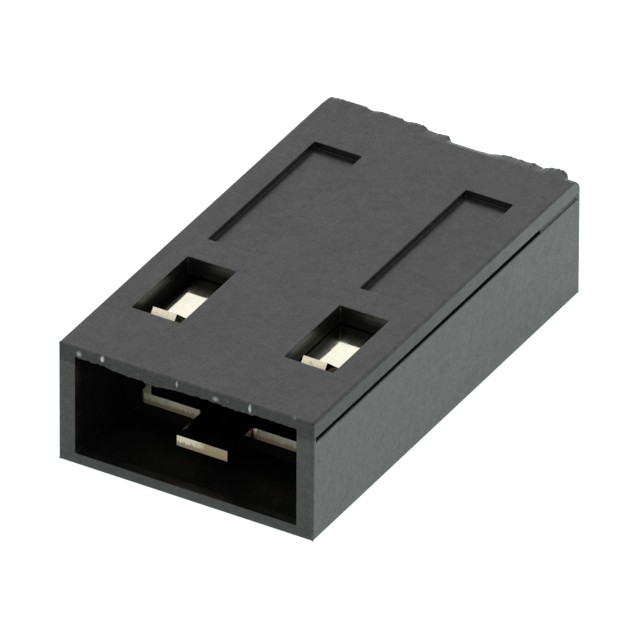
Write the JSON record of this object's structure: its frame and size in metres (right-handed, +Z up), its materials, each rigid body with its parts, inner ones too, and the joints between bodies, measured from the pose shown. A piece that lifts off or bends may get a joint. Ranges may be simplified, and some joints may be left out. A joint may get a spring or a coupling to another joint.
{
  "type": "jumper shunt",
  "caption": "Flat black jumper shunt: a moulded block open at one end, with windows and shallow marking panels on top, round a stamped contact that bridges neighbouring header pins.",
  "frame": {"origin": "middle of the underside of the housing", "axes": "+Z up from the underside, +Y from the open mouth to the closed back, X across the two pins"},
  "size_m": [0.0048, 0.0088, 0.0023],
  "materials": {
    "housing_plastic": "black glass-filled moulding, satin with a fine grain",
    "plated_strip": "tin plated, with the base metal showing at the sheared edges"
  },
  "bodies": {
    "root": {"housing": "housing_plastic", "contact": "plated_strip"}
  },
  "joints": []
}
